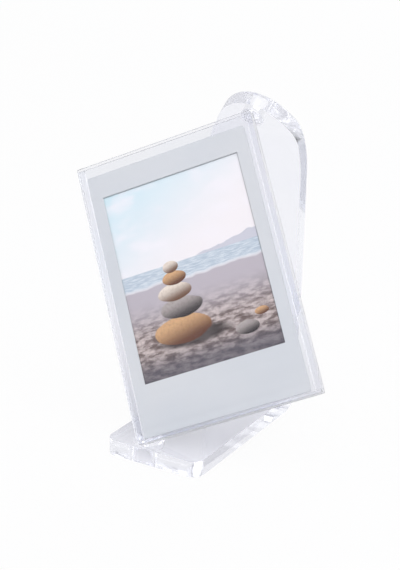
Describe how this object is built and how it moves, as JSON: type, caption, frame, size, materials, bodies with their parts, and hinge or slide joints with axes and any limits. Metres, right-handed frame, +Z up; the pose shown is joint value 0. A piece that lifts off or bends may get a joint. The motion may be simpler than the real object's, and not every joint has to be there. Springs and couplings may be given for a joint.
{
  "type": "swivelling photo frame for an instant print",
  "caption": "Clear acrylic photo frame hung corner to corner on a bent one-piece stand, holding a small instant print with a white border.",
  "frame": {"origin": "on the table, under the middle of the base", "axes": "+Z up, -Y towards the viewer (the side the picture faces), +X to the viewer's right along the base's width"},
  "size_m": [0.096, 0.0653, 0.1048],
  "materials": {
    "clear_stand": "clear polished acrylic, 5 mm",
    "clear_frame": "clear polished acrylic, thin sheet",
    "border": "satin white print border",
    "picture": "glossy seaside picture",
    "pod": "flat spent pouch under the border",
    "print_back": "pale satin backing sheet"
  },
  "bodies": {
    "stand": {"stand": "clear_stand"},
    "frame": {"front_panel": "clear_frame", "back_panel": "clear_frame", "left_spacer": "clear_frame", "right_spacer": "clear_frame", "bottom_spacer": "clear_frame"},
    "print": {"print_backing": "print_back", "print_picture": "picture", "print_pod": "pod", "print_border": "border"}
  },
  "joints": [
    {"name": "frame_swivel", "type": "hinge", "parent": "stand", "child": "frame", "pos_m": [-0.0058, -0.0237, 0.00425], "axis": [0.0594, 0.4733, 0.8789], "range_deg": [-30, 8]},
    {"name": "print_slide", "type": "slide", "parent": "frame", "child": "print", "axis": [-0.4866, 0.3549, 0.7983], "range_m": [0, 0.004]}
  ]
}
